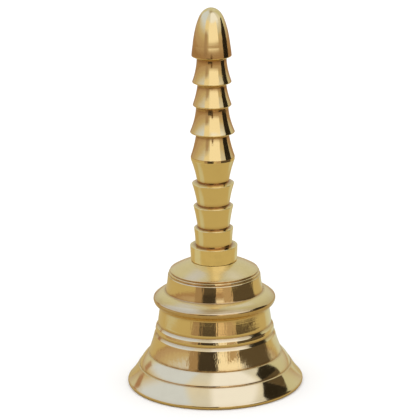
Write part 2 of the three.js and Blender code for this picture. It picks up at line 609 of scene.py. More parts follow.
class SharedEffect:
    """A shader node group that several finishes place with their own values."""

    name: str = ""

    def __init__(self) -> None:
        """Builds the group with its named sockets."""
        self.group = bpy.data.node_groups.new(self.name, "ShaderNodeTree")
        self.graph = Graph(self.group)
        self.build()

    def socket_in(self, name: str, kind: str, value: object = None) -> None:
        """Adds a named input.

        Args:
            name: Name of the input.
            kind: Blender's socket type.
            value: Its resting value, if it has one.
        """
        socket = self.group.interface.new_socket(name, in_out="INPUT", socket_type=kind)
        if value is not None:
            socket.default_value = value

    def finish(self, name: str, result: bpy.types.NodeSocket) -> None:
        """Adds the group's one output, a number, and joins its result.

        Args:
            name: Name of the output.
            result: What it puts out.
        """
        self.group.interface.new_socket(name, in_out="OUTPUT", socket_type="NodeSocketFloat")
        self.graph.add("NodeGroupOutput", {name: result})

    def inlet(self) -> bpy.types.Node:
        """Adds the group's input node, once its inputs are declared."""
        return self.graph.add("NodeGroupInput")

    def build(self) -> None:
        """Fills the group. Each effect says how."""
        raise NotImplementedError

    def place(self, graph: Graph, inputs: dict[str, object]) -> bpy.types.NodeSocket:
        """Puts the effect into a material.

        Args:
            graph: The material's nodes.
            inputs: Values and sockets for the group's inputs.

        Returns:
            The effect's one output.
        """
        return graph.add("ShaderNodeGroup", inputs, node_tree=self.group).outputs[0]


class TurningLines(SharedEffect):
    """Fine rings left by the lathe tool and the polishing cloth."""

    name = "turning lines"
    fine_rings: float = 5200.0
    broad_rings: float = 1100.0
    fine_share: float = 0.45
    patches: float = 90.0
    broken: Span = (0.35, 0.7)
    middle: float = 0.5

    def build(self) -> None:
        """Draws uneven rings that follow radius and height, broken a little around the turn."""
        self.socket_in("Position", "NodeSocketVector")
        self.socket_in("Ring Scale", "NodeSocketFloat", 1.0)
        self.socket_in("Broken", "NodeSocketFloat", 0.3)
        inlet, graph = self.inlet(), self.graph
        place = graph.add("ShaderNodeSeparateXYZ", {0: inlet.outputs["Position"]})
        level = graph.add("ShaderNodeCombineXYZ", {"X": place.outputs["X"], "Y": place.outputs["Y"]})
        radius = graph.add("ShaderNodeVectorMath", {0: level.outputs[0]}, operation="LENGTH").outputs["Value"]
        section = graph.add("ShaderNodeCombineXYZ", {"X": radius, "Y": place.outputs["Z"]}).outputs[0]
        fine_scale = graph.sum("MULTIPLY", inlet.outputs["Ring Scale"], self.fine_rings)
        broad_scale = graph.sum("MULTIPLY", inlet.outputs["Ring Scale"], self.broad_rings)
        fine = graph.noise(section, fine_scale, 2.0, "2D")
        broad = graph.noise(section, broad_scale, 2.0, "2D")
        rings = graph.sum("ADD", graph.sum("MULTIPLY", fine, self.fine_share),
                          graph.sum("MULTIPLY", broad, 1.0 - self.fine_share))
        breaks = graph.smooth_step(graph.noise(inlet.outputs["Position"], self.patches, 2.0), *self.broken)
        faded = graph.sum("SUBTRACT", 1.0, graph.sum("MULTIPLY", breaks, inlet.outputs["Broken"]))
        centred = graph.sum("MULTIPLY", graph.sum("SUBTRACT", rings, self.middle), faded)
        self.finish("Height", graph.sum("ADD", centred, self.middle))


class PolishingStreaks(SharedEffect):
    """Upright streaks from hand polishing, on upright walls alone."""

    name = "upright polishing streaks"
    drawn_out: Place = (1.0, 1.0, 0.07)
    patches: float = 70.0
    patchy: Span = (0.3, 0.62)
    upright: Span = (0.5, 0.3)

    def build(self) -> None:
        """Draws noise that is long up the wall and fine around it."""
        self.socket_in("Position", "NodeSocketVector")
        self.socket_in("Normal", "NodeSocketVector")
        self.socket_in("Spacing", "NodeSocketFloat", 900.0)
        inlet, graph = self.inlet(), self.graph
        scaled = graph.add("ShaderNodeVectorMath", {0: inlet.outputs["Position"], 1: self.drawn_out},
                           operation="MULTIPLY").outputs[0]
        streak = graph.noise(scaled, inlet.outputs["Spacing"], 2.0, Roughness=0.6)
        slope = graph.sum("ABSOLUTE", graph.slope(inlet.outputs["Normal"]))
        patches = graph.noise(inlet.outputs["Position"], self.patches, 1.0)
        amount = graph.sum("MULTIPLY", graph.smooth_step(slope, *self.upright),
                           graph.smooth_step(patches, *self.patchy))
        self.finish("Height", graph.sum("MULTIPLY", streak, amount))


class CreaseShadeAndTarnish(SharedEffect):
    """Real tarnish in faint clouds, and painted shade that darkens the creases and the painted dark bands."""

    name = "tarnish and painted crease shade"
    clouds: float = 140.0
    specks: float = 900.0
    clouded: Span = (0.48, 0.78)
    least: float = 0.75
    speck_share: float = 0.5

    def build(self) -> None:
        """Joins a crease mark with clouds of two sizes."""
        self.socket_in("Position", "NodeSocketVector")
        self.socket_in("Crease", "NodeSocketFloat", 0.0)
        self.socket_in("Crease Amount", "NodeSocketFloat", 0.8)
        self.socket_in("Cloud Amount", "NodeSocketFloat", 0.2)
        inlet, graph = self.inlet(), self.graph
        cloud = graph.noise(inlet.outputs["Position"], self.clouds, 5.0, Roughness=0.62)
        speck = graph.noise(inlet.outputs["Position"], self.specks, 3.0)
        veil = graph.sum("MULTIPLY", graph.smooth_step(cloud, *self.clouded), inlet.outputs["Cloud Amount"])
        uneven = graph.sum("ADD", self.least, graph.sum("MULTIPLY", speck, self.speck_share))
        # Painted shade: the crease mark darkens creases and painted dark bands towards the tarnish colour.
        line = graph.sum("MULTIPLY", graph.sum("MULTIPLY", inlet.outputs["Crease"], uneven),
                         inlet.outputs["Crease Amount"])
        self.finish("Mask", graph.clamped_sum(line, veil))


class EdgeWear(SharedEffect):
    """Rims rubbed bright by cloths and fingers."""

    name = "rubbed rims"
    breaks: float = 420.0
    kept: Span = (0.3, 0.6)

    def build(self) -> None:
        """Breaks the rim mark up with fine noise."""
        self.socket_in("Position", "NodeSocketVector")
        self.socket_in("Rim", "NodeSocketFloat", 0.0)
        self.socket_in("Amount", "NodeSocketFloat", 0.5)
        inlet, graph = self.inlet(), self.graph
        kept = graph.smooth_step(graph.noise(inlet.outputs["Position"], self.breaks, 3.0), *self.kept)
        rubbed = graph.sum("MULTIPLY", inlet.outputs["Rim"], kept)
        self.finish("Mask", graph.sum("MULTIPLY", rubbed, inlet.outputs["Amount"]))


class Handling(SharedEffect):
    """Smears and finger marks that dull the polish unevenly."""

    name = "handling smears"
    rubbing_turn: Place = (0.4, 0.7, 0.2)
    rubbing_stretch: Place = (1.0, 1.0, 2.4)
    smears: float = 60.0
    smeared: Span = (0.38, 0.72)

    def build(self) -> None:
        """Draws smears that are stretched along one slanting direction."""
        self.socket_in("Position", "NodeSocketVector")
        inlet, graph = self.inlet(), self.graph
        turned = graph.add("ShaderNodeMapping", {
            "Vector": inlet.outputs["Position"], "Rotation": self.rubbing_turn,
            "Scale": self.rubbing_stretch}).outputs[0]
        smear = graph.noise(turned, self.smears, 4.0, Distortion=0.8)
        self.finish("Mask", graph.smooth_step(smear, *self.smeared))


class Dust(SharedEffect):
    """Thin pale dust that settles where the metal faces up."""

    name = "settled dust"
    grains: float = 1300.0
    grainy: Span = (0.45, 0.7)
    level: Span = (0.55, 0.95)

    def build(self) -> None:
        """Joins the upward slope with a fine grain."""
        self.socket_in("Position", "NodeSocketVector")
        self.socket_in("Normal", "NodeSocketVector")
        self.socket_in("Amount", "NodeSocketFloat", 0.1)
        inlet, graph = self.inlet(), self.graph
        grain = graph.smooth_step(graph.noise(inlet.outputs["Position"], self.grains, 4.0), *self.grainy)
        upward = graph.smooth_step(graph.slope(inlet.outputs["Normal"]), *self.level)
        settled = graph.sum("MULTIPLY", upward, grain)
        self.finish("Mask", graph.sum("MULTIPLY", settled, inlet.outputs["Amount"]))


class Effects:
    """All shared effects, each built once."""

    def __init__(self) -> None:
        """Builds every group."""
        self.lines = TurningLines()
        self.streaks = PolishingStreaks()
        self.tarnish_and_shade = CreaseShadeAndTarnish()
        self.wear = EdgeWear()
        self.handling = Handling()
        self.dust = Dust()


@dataclass(frozen=True)
class MetalFinish:
    """A turned or drawn metal surface.

    Args:
        name: Name of the material.
        metal: Colour of the clean metal.
        tarnish_shade_colour: Colour of the metal under tarnish, and of the painted shade in the creases and
            painted dark bands.
        polish: Roughness where the polish is best.
        dulled: Roughness added where it is handled, tarnished or shaded in the creases.
        line_depth: Depth of the turning lines, in metres.
        line_scale: How close the turning lines lie, 1 for the bell's own.
        stretch: How far the lines stretch a reflection across themselves.
        crease: How strongly the creases and painted dark bands are darkened, as painted shade.
        cloud: How strongly tarnish clouds the open surface.
        wear: How bright the rims are rubbed.
        dust: How much dust lies on top.
        wave_depth: Depth of the slow unevenness of hand polishing, in metres.
        streak_depth: Depth of the upright polishing streaks, in metres.
        shelf_satin: Roughness added on shelves that face up, which the wheel reaches least.
    """

    name: str
    metal: Colour
    tarnish_shade_colour: Colour
    polish: float
    dulled: float
    line_depth: float
    line_scale: float = 1.0
    stretch: float = 0.0
    crease: float = 0.8
    cloud: float = 0.2
    wear: float = 0.5
    dust: float = 0.06
    wave_depth: float = 0.0
    streak_depth: float = 0.0
    shelf_satin: float = 0.0

    def make(self, effects: Effects) -> bpy.types.Material:
        """Builds the material.

        Args:
            effects: The shared node groups.

        Returns:
            The finished material.
        """
        material, graph = blank_material(self.name)
        place = graph.add("ShaderNodeTexCoord").outputs["Object"]
        normal = graph.add("ShaderNodeNewGeometry").outputs["Normal"]
        crease = graph.add("ShaderNodeAttribute", attribute_name="crease").outputs["Fac"]
        rim = graph.add("ShaderNodeAttribute", attribute_name="rim").outputs["Fac"]
        # Mask of tarnish clouds, and of painted shade in the creases and painted dark bands.
        tarnish_and_shade = effects.tarnish_and_shade.place(graph, {
            "Position": place, "Crease": crease, "Crease Amount": self.crease, "Cloud Amount": self.cloud})
        wear = effects.wear.place(graph, {"Position": place, "Rim": rim, "Amount": self.wear})
        smears = effects.handling.place(graph, {"Position": place})
        dust = effects.dust.place(graph, {"Position": place, "Normal": normal, "Amount": self.dust})
        lines = effects.lines.place(graph, {
            "Position": place, "Ring Scale": self.line_scale, "Broken": LINE_BREAKS})
        streaks = effects.streaks.place(graph, {"Position": place, "Normal": normal})

        rubbed = tuple(min(1.0, channel * RUBBED_GAIN) for channel in self.metal)
        # Painted shade: creases and painted dark bands take the tarnish colour, as real tarnish clouds do.
        colour = graph.mix(tarnish_and_shade, opaque(self.metal), opaque(self.tarnish_shade_colour))
        colour = graph.mix(wear, colour, opaque(rubbed))
        colour = graph.mix(dust, colour, opaque(DUST_COLOUR))

        rough = graph.sum("ADD", graph.spread(smears, self.polish, self.polish + 0.5 * self.dulled),
                          graph.sum("MULTIPLY", tarnish_and_shade, self.dulled))
        shelf = graph.sum("MULTIPLY", graph.smooth_step(graph.slope(normal), *SHELF_SLOPE), self.shelf_satin)
        rough = graph.clamped_sum(graph.sum("ADD", rough, shelf), graph.sum("MULTIPLY", dust, DUST_ROUGHNESS))

        waved = graph.bump(graph.noise(place, POLISH_WAVES, 1.0), self.wave_depth)
        streaked = graph.bump(streaks, self.streak_depth, waved)
        turned = graph.bump(lines, self.line_depth, streaked)
        shader = graph.add("ShaderNodeBsdfPrincipled", {
            "Base Color": colour, "Roughness": rough, "Metallic": graph.sum("SUBTRACT", 1.0, dust),
            "Normal": turned})
        if self.stretch:
            shader.inputs["Anisotropic"].default_value = self.stretch
            around = graph.add("ShaderNodeTangent", direction_type="RADIAL", axis="Z")
            graph.feed(shader, "Tangent", around.outputs[0])
        graph.add("ShaderNodeOutputMaterial", {"Surface": shader.outputs[0]})
        return material


POLISHED_BRASS = MetalFinish(
    name="polished bell brass", metal=(0.88, 0.70, 0.34), tarnish_shade_colour=(0.42, 0.22, 0.07),
    polish=0.065, dulled=0.12, line_depth=0.012 * MM, stretch=0.45, crease=0.75, cloud=0.10, wear=0.6,
    dust=0.04, wave_depth=0.12 * MM, streak_depth=0.09 * MM, shelf_satin=0.13)
HANDLE_BRASS = MetalFinish(
    name="polished handle brass", metal=(0.88, 0.70, 0.32), tarnish_shade_colour=(0.42, 0.21, 0.06),
    polish=0.065, dulled=0.12, line_depth=0.010 * MM, line_scale=1.2, stretch=0.35, crease=0.95,
    cloud=0.06, wear=0.7, dust=0.03, wave_depth=0.08 * MM, streak_depth=0.04 * MM)
FASTENER_BRASS = MetalFinish(
    name="dulled fastener brass", metal=(0.80, 0.60, 0.27), tarnish_shade_colour=(0.30, 0.17, 0.07),
    polish=0.26, dulled=0.25, line_depth=0.014 * MM, line_scale=1.6, crease=0.8, cloud=0.55, wear=0.5,
    dust=0.05, wave_depth=0.04 * MM)
CLAPPER_BRASS = MetalFinish(
    name="turned clapper brass", metal=(0.83, 0.64, 0.29), tarnish_shade_colour=(0.34, 0.19, 0.07),
    polish=0.2, dulled=0.22, line_depth=0.018 * MM, stretch=0.3, crease=0.8, cloud=0.4, wear=0.6,
    dust=0.05, wave_depth=0.06 * MM)
DRAWN_STEEL = MetalFinish(
    name="drawn steel wire", metal=(0.58, 0.57, 0.55), tarnish_shade_colour=(0.22, 0.15, 0.10),
    polish=0.3, dulled=0.25, line_depth=0.008 * MM, line_scale=0.6, crease=0.6, cloud=0.5, wear=0.4,
    dust=0.05, wave_depth=0.03 * MM)


# ---------------------------------------------------------------- the bell and its handle


@dataclass
class BellShell:
    """The cast body: domed crown, ring, waisted barrel and stepped flare, one wall throughout.

    Args:
        node: The frame node that it stands for.
        sides: Flats around the turn.
    """

    node: str = "bell_body"
    sides: int = 224

    def draw_outside(self, outline: Outline) -> None:
        """Draws the outside from the crown's bore down to the lip, in millimetres over the mouth.

        Args:
            outline: The outline to draw on.
        """
        outline.to(2.9, 50.3).to(9.1, 50.3, Arris.CRISP)
        outline.bow((13.9, 48.7), (17.5, 46.5), Arris.EASED)
        outline.to(17.2, 46.0, Arris.CRISP).to(17.9, 45.7, Arris.CRISP).to(18.0, 45.2, Arris.CRISP)
        outline.to(17.75, 44.95, Arris.CRISP).to(18.3, 44.6, Arris.EASED)
        outline.bow((18.65, 40.6), (19.3, 38.2), Arris.EASED, 10)
        outline.bow((22.0, 37.4), (23.6, 35.9), Arris.EASED).bow((24.25, 35.5), (24.2, 34.7), Arris.CRISP, 6)
        outline.bow((24.0, 32.9), (21.9, 32.1), Arris.CRISP, 10)
        outline.to(21.7, 31.8).bow((22.0, 29.0), (22.5, 25.8), Arris.EASED)
        outline.to(22.4, 24.7, Arris.EASED).to(23.3, 23.7, Arris.EASED).to(23.6, 22.5, Arris.EASED)
        outline.to(23.3, 21.4, Arris.EASED).to(24.1, 20.2, Arris.EASED)
        outline.bow((24.8, 16.9), (26.4, 12.9), Arris.CRISP)
        outline.to(26.25, 12.7, Arris.CRISP).to(26.7, 12.5, Arris.CRISP)
        outline.bow((28.8, 10.45), (30.0, 8.1), Arris.CRISP, 16).to(30.1, 7.7, Arris.CRISP)
        outline.to(30.6, 7.5, Arris.CRISP).bow((32.2, 4.5), (34.4, 2.0), Arris.CRISP, 16)
        outline.to(34.5, 1.9).bow((35.4, 1.0), (34.4, 0.0), Arris.SOFT, 8)

    def draw_inside(self, outline: Outline) -> None:
        """Draws the inside from the mouth up the sound bow to the ceiling and its bore.

        Args:
            outline: The outline to draw on.
        """
        outline.to(31.5, 0.0, Arris.SOFT).to(31.2, 1.6, Arris.EASED)
        outline.bow((29.7, 5.6), (27.8, 8.3)).bow((25.2, 11.8), (23.2, 14.2), steps=6)
        outline.bow((21.2, 18.4), (20.6, 22.0), steps=8).bow((19.8, 26.6), (18.7, 30.4), steps=8)
        outline.bow((16.8, 33.2), (16.2, 35.5), steps=8).to(15.9, 42.4, Arris.ROUND)
        outline.bow((15.9, 46.2), (12.6, 46.9), steps=8).to(9.5, 47.0).to(2.9, 47.0)

    def build(self, finish: bpy.types.Material) -> bpy.types.Object:
        """Turns the shell and puts it on show.

        Args:
            finish: The polished brass.

        Returns:
            The bell's body.
        """
        outline = Outline(foot=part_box(self.node)[0].z)
        self.draw_outside(outline)
        self.draw_inside(outline)
        # Painted dark bands: a painted brown reflection under the ring's nose, and a darker band at the lip.
        outline.painted_dark_band(23.9, 35.2, 2.0, 0.5).painted_dark_band(23.9, 34.0, 1.7, 0.7).painted_dark_band(34.7, 0.9, 0.9, 0.3)
        shell = Turning(outline, self.sides, closed=True).spin()
        return put_on_show("turned_bell_body", shell, Body.BELL, self.node, finish)


@dataclass
class TurnedHandle:
    """The turned handle: foot collar, three cups, a double cone, three cones and the finial.

    Args:
        node: The frame node that it stands for.
        sides: Flats around the turn.
        cups: Foot, bend and rim of each cup, in millimetres over the handle's foot.
        cones: Neck, rim, bend and top of each cone.
        painted_dark_bands: Radius, height, reach and depth of each painted dark band: painted shade at each
            cup's foot and under each cone, and a painted darker reflection on the finial's low band.
    """

    node: str = "handle"
    sides: int = 144
    cups: tuple[tuple[Corner, Corner, Corner], ...] = (
        ((7.2, 6.2), (7.3, 10.1), (7.75, 13.1)),
        ((6.3, 13.5), (6.9, 18.4), (7.85, 22.1)),
        ((6.3, 22.6), (6.95, 27.2), (8.3, 31.3)),
    )
    cones: tuple[tuple[Corner, Corner, Corner, Corner], ...] = (
        ((6.6, 51.0), (8.8, 51.8), (6.7, 56.6), (6.35, 61.2)),
        ((6.4, 62.0), (7.6, 62.6), (6.15, 66.7), (5.65, 70.3)),
        ((5.75, 70.9), (7.7, 71.7), (5.95, 76.5), (5.8, 81.0)),
    )
    # Painted shade lines at the cups' feet and under each cone, and a painted darker reflection on the
    # finial's low band.
    painted_dark_bands: tuple[tuple[float, float, float, float], ...] = (
        (7.3, 6.2, 0.8, 0.9), (6.4, 13.5, 0.8, 0.9), (6.4, 22.6, 0.8, 0.9),
        (6.35, 32.0, 0.8, 0.9), (6.5, 50.8, 0.8, 0.85), (6.4, 61.6, 0.9, 0.8),
        (5.7, 70.6, 1.0, 0.85), (5.9, 81.1, 0.9, 0.85), (7.6, 83.9, 2.2, 0.4),
    )

    def draw(self, outline: Outline) -> None:
        """Draws the handle from the top of its bore down, out and up to the nose.

        Args:
            outline: The outline to draw on.
        """
        outline.to(0.0, 11.9).to(2.7, 11.9).to(2.7, -0.2, Arris.CRISP).to(9.1, -0.2, Arris.CRISP)
        outline.to(9.35, 6.0, Arris.EASED).to(7.4, 6.15, Arris.CRISP)
        for foot, bend, rim in self.cups:
            outline.to(*foot, Arris.CRISP).bow(bend, rim, Arris.EASED)
        outline.to(6.25, 32.0, Arris.CRISP).bow((6.9, 36.5), (8.6, 41.0), Arris.EASED)
        outline.to(8.6, 42.1, Arris.EASED).bow((7.2, 46.2), (6.45, 50.6), Arris.CRISP)
        for neck, rim, bend, top in self.cones:
            outline.to(*neck, Arris.CRISP).to(*rim, Arris.SOFT).bow(bend, top, Arris.CRISP)
        outline.to(5.95, 81.2, Arris.CRISP).to(7.8, 82.1, Arris.EASED)
        outline.bow((7.65, 84.3), (7.3, 86.4), Arris.CRISP, 8)
        outline.bow((6.6, 92.8), (4.7, 97.3)).bow((3.0, 100.8), (0.0, 100.9))

    def build(self, finish: bpy.types.Material) -> bpy.types.Object:
        """Turns the handle and puts it on show.

        Args:
            finish: The handle's brass.

        Returns:
            The handle.
        """
        outline = Outline(foot=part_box(self.node)[0].z)
        self.draw(outline)
        for painted_dark_band in self.painted_dark_bands:
            outline.painted_dark_band(*painted_dark_band)
        shell = Turning(outline, self.sides, closed=False).spin()
        return put_on_show("turned_handle", shell, Body.BELL, self.node, finish)


# ---------------------------------------------------------------- what hangs inside


@dataclass
class HangerFittings:
    """The eye bolt under the crown, with its washer and nut.

    Args:
        shank: Radius of the bolt's shank, in millimetres.
        pitch: Rise of its thread in one turn, in millimetres.
        eye_radius: Radius of the eye's middle line, in millimetres.
        eye_wire: Radius of the eye's wire, in millimetres.
        root_depth: Depth of the thread's roots under the shank, in millimetres.
        plain_end: Length of the shank over the thread, in millimetres.
        washer_outer: Outer radius of the washer, in millimetres.
        washer_inner: Radius of its hole, in millimetres.
        nut_inner: Radius of the nut's bore, in millimetres.
        nut_flats: Width of the nut across its flats, in millimetres.
        nut_easing: How far the nut's edges are eased, in millimetres.
        nut_lead: Width of each ring between the nut's flat end and its bore, in millimetres.
    """

    shank: float = 2.4
    pitch: float = 0.8
    eye_radius: float = 2.8
    eye_wire: float = 0.8
    root_depth: float = 0.34
    plain_end: float = 1.2
    washer_outer: float = 6.0
    washer_inner: float = 2.7
    nut_inner: float = 2.7
    nut_flats: float = 8.0
    nut_easing: float = 0.25
    nut_lead: float = 0.2

    def build_bolt(self, finish: bpy.types.Material) -> bpy.types.Object:
        """Bends the eye, turns the shank and cuts its thread.

        Args:
            finish: The dulled brass.

        Returns:
            The eye bolt.
        """
        low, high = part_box("hanger_bolt")
        centre = Vector((0.0, 0.0, low.z + (self.eye_radius + self.eye_wire) * MM))
        eye = bent_ring(centre, AXIS_X, self.eye_radius * MM, self.eye_wire * MM)
        neck = (self.eye_radius + self.eye_wire) * 2.0 - 1.0
        top = (high.z - low.z) / MM
        root = self.shank - self.root_depth
        core = Outline(foot=low.z)
        core.to(0.0, neck).to(1.5, neck, Arris.EASED)
        core.bow((1.5, neck + 0.8), (self.shank, neck + 1.0), Arris.CRISP, 6)
        core.to(self.shank, neck + 1.5, Arris.CRISP).to(root, neck + 1.7)
        core.to(root, top - 0.4).to(self.shank - 0.6, top, Arris.CRISP).to(0.0, top)
        thread_foot = low.z + (neck + 1.6) * MM
        turns = int((high.z - thread_foot - self.plain_end * MM) / (self.pitch * MM))
        thread = cut_thread(self.shank * MM, self.pitch * MM, thread_foot, turns)
        bolt = joined([eye, Turning(core, 48, closed=False).spin(), thread])
        return put_on_show("eye_bolt", bolt, Body.BELL, "hanger_bolt", finish)

    def build_washer(self, finish: bpy.types.Material) -> bpy.types.Object:
        """Turns the washer, with its punched edges eased.

        Args:
            finish: The dulled brass.

        Returns:
            The washer.
        """
        low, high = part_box("crown_washer")
        thick = (high.z - low.z) / MM
        ring = Outline(foot=low.z)
        ring.to(self.washer_inner, 0.0, Arris.EASED).to(self.washer_outer, 0.0, Arris.SOFT)
        ring.to(self.washer_outer, thick, Arris.EASED).to(self.washer_inner, thick, Arris.EASED)
        washer = Turning(ring, 72, closed=True).spin()
        return put_on_show(
            "crown_washer_dressed", washer, Body.BELL, "crown_washer", finish)

    def build_nut(self, finish: bpy.types.Material) -> bpy.types.Object:
        """Cuts the hexagon nut from bar, bores it and eases its corners.

        Args:
            finish: The dulled brass.

        Returns:
            The nut.
        """
        low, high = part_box("crown_nut")
        height = high.z - low.z
        corner = self.nut_flats * MM / math.sqrt(3.0)
        nut = bmesh.new()
        blank = bmesh.ops.create_circle(nut, cap_ends=True, segments=6, radius=corner)
        quarter_back = Matrix.Rotation(-math.pi / 2, 3, "Z")
        bmesh.ops.rotate(nut, verts=blank["verts"], cent=(0, 0, 0), matrix=quarter_back)
        risen = bmesh.ops.extrude_face_region(nut, geom=nut.faces[:])
        top = [item for item in risen["geom"] if isinstance(item, bmesh.types.BMVert)]
        bmesh.ops.translate(nut, verts=top, vec=(0, 0, height))
        bmesh.ops.recalc_face_normals(nut, faces=nut.faces)
        bmesh.ops.bevel(nut, geom=nut.edges[:], offset=self.nut_easing * MM, offset_type="OFFSET",
                        segments=EASING_SEGMENTS, affect="EDGES", profile=0.5, material=-1)
        bmesh.ops.translate(nut, verts=nut.verts, vec=(0, 0, low.z))
        bored = self.bored(nut, low.z, high.z)
        return put_on_show("crown_nut_dressed", bored, Body.BELL, "crown_nut", finish)

    def bored(self, nut: bmesh.types.BMesh, foot: float, head: float) -> bmesh.types.BMesh:
        """Opens the nut's bore by insetting its two flat ends and bridging the rings.

        Args:
            nut: The solid hexagon.
            foot: Height of its lower end.
            head: Height of its upper end.

        Returns:
            The same bmesh, bored.
        """
        flats = [face for face in nut.faces if len(face.verts) == 6 and abs(face.normal.z) > FACING_ALONG]
        heights = {flat: flat.calc_center_median().z for flat in flats}
        ends = [flat for flat, z in heights.items() if min(abs(z - foot), abs(z - head)) < FLATNESS]
        cuts = 7
        for end in ends:
            bmesh.ops.subdivide_edges(nut, edges=end.edges[:], cuts=cuts)
        nut.faces.ensure_lookup_table()
        ends = [face for face in nut.faces if len(face.verts) == 6 * (cuts + 1)]
        for end in ends:
            for _ in range(2):
                bmesh.ops.inset_region(nut, faces=[end], thickness=self.nut_lead * MM, use_even_offset=True)
            for vertex in end.verts:
                flat = Vector((vertex.co.x, vertex.co.y, 0.0))
                scale = self.nut_inner * MM / flat.length
                vertex.co = Vector((flat.x * scale, flat.y * scale, vertex.co.z))
        rings = [edge for end in ends for edge in end.edges]
        bmesh.ops.delete(nut, geom=ends, context="FACES_ONLY")
        bmesh.ops.bridge_loops(nut, edges=rings)
        bmesh.ops.recalc_face_normals(nut, faces=nut.faces)
        return nut

    def build(self, finish: bpy.types.Material) -> None:
        """Builds the three fittings.

        Args:
            finish: The dulled brass.
        """
        self.build_bolt(finish)
        self.build_washer(finish)
        self.build_nut(finish)


@dataclass
class Clapper:
    """The link, the rod with its eye, the bored ball and the nut that holds it.

    Args:
        link_radius: Radius of the link's middle line, in millimetres.
        link_wire: Radius of its wire.
        eye_radius: Radius of the rod's eye, to its middle line.
        eye_wire: Radius of the eye's wire.
        rod: Radius of the rod.
        ball: Radius of the ball.
        bore: Radius of the bore through the ball and nut.
        nut: Radius of the end nut.
        crest: Radius over the crests of the rod's thread.
        pitch: Rise of that thread in one turn.
        turns: Number of its turns.
    """

    link_radius: float = 3.6
    link_wire: float = 0.7
    eye_radius: float = 2.6
    eye_wire: float = 0.8
    rod: float = 1.3
    ball: float = 7.5
    bore: float = 1.6
    nut: float = 2.6
    crest: float = 1.28
    pitch: float = 0.5
    turns: int = 8

    def build_link(self, finish: bpy.types.Material) -> bpy.types.Object:
        """Bends the link that joins the two eyes.

        Args:
            finish: The drawn steel.

        Returns:
            The link.
        """
        low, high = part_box("clapper_link")
        ring = bent_ring((low + high) * 0.5, AXIS_Y, self.link_radius * MM, self.link_wire * MM)
        return put_on_show("wire_link", ring, Body.LINK, "clapper_link", finish)

    def build_rod(self, finish: bpy.types.Material) -> bpy.types.Object:
        """Bends the rod's eye, turns the rod and threads its foot.

        Args:
            finish: The drawn steel.

        Returns:
            The clapper's rod.
        """
        low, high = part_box("clapper_rod")
        reach = (self.eye_radius + self.eye_wire) * MM
        eye = bent_ring(Vector((0.0, 0.0, high.z - reach)), AXIS_X, self.eye_radius * MM, self.eye_wire * MM)
        length = (high.z - low.z - 2.0 * reach) / MM
        stem = Outline(foot=low.z)
        stem.to(0.0, 0.0).to(0.95, 0.0, Arris.CRISP).to(1.05, 0.3)
        stem.to(1.05, 4.4).to(self.rod, 4.7, Arris.CRISP)
        stem.to(self.rod, length - 1.2).bow((self.rod, length + 0.2), (1.05, length + 1.0), steps=6)
        stem.to(0.0, length + 1.1)
        thread = cut_thread(self.crest * MM, self.pitch * MM, low.z + 0.5 * self.pitch * MM, self.turns)
        rod = joined([eye, Turning(stem, 40, closed=False).spin(), thread])
        return put_on_show("clapper_rod_with_eye", rod, Body.CLAPPER, "clapper_rod", finish)

    def build_ball(self, finish: bpy.types.Material) -> bpy.types.Object:
        """Turns the bored ball with its two small flats.

        Args:
            finish: The clapper's brass.

        Returns:
            The ball.
        """
        low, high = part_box("clapper_ball")
        middle = (high.z - low.z) * 0.5 / MM
        section = Outline(foot=low.z)
        section.to(self.bore, 0.0, Arris.CRISP)
        flat = math.acos(min(1.0, middle / self.ball))
        arc_steps = 48
        for step in range(arc_steps + 1):
            angle = flat + (math.pi - 2.0 * flat) * step / arc_steps
            section.to(self.ball * math.sin(angle), middle - self.ball * math.cos(angle))
        section.to(self.bore, 2.0 * middle, Arris.CRISP)
        ball = Turning(section, 96, closed=True).spin()
        return put_on_show("bored_ball", ball, Body.CLAPPER, "clapper_ball", finish)

    def build_nut(self, finish: bpy.types.Material) -> bpy.types.Object:
        """Turns the round end nut with a domed foot.

        Args:
            finish: The dulled brass.

        Returns:
            The end nut.
        """
        low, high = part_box("clapper_end_nut")
        height = (high.z - low.z) / MM
        section = Outline(foot=low.z)
        section.to(self.bore, 0.0, Arris.CRISP).to(self.nut - 0.8, 0.0)
        section.bow((self.nut - 0.1, 0.1), (self.nut, 0.9), Arris.CRISP, 6)
        section.to(self.nut, height, Arris.EASED).to(self.bore, height, Arris.CRISP)
        nut = Turning(section, 64, closed=True).spin()
        return put_on_show("domed_end_nut", nut, Body.CLAPPER, "clapper_end_nut", finish)

    def build(self, steel: bpy.types.Material, brass: bpy.types.Material,
              fastener: bpy.types.Material) -> None:
        """Builds the whole clapper in its finishes.

        Args:
            steel: Finish of the link and the rod.
            brass: Finish of the ball.
            fastener: Finish of the end nut.
        """
        self.build_link(steel)
        self.build_rod(steel)
        self.build_ball(brass)
        self.build_nut(fastener)


# ---------------------------------------------------------------- studio


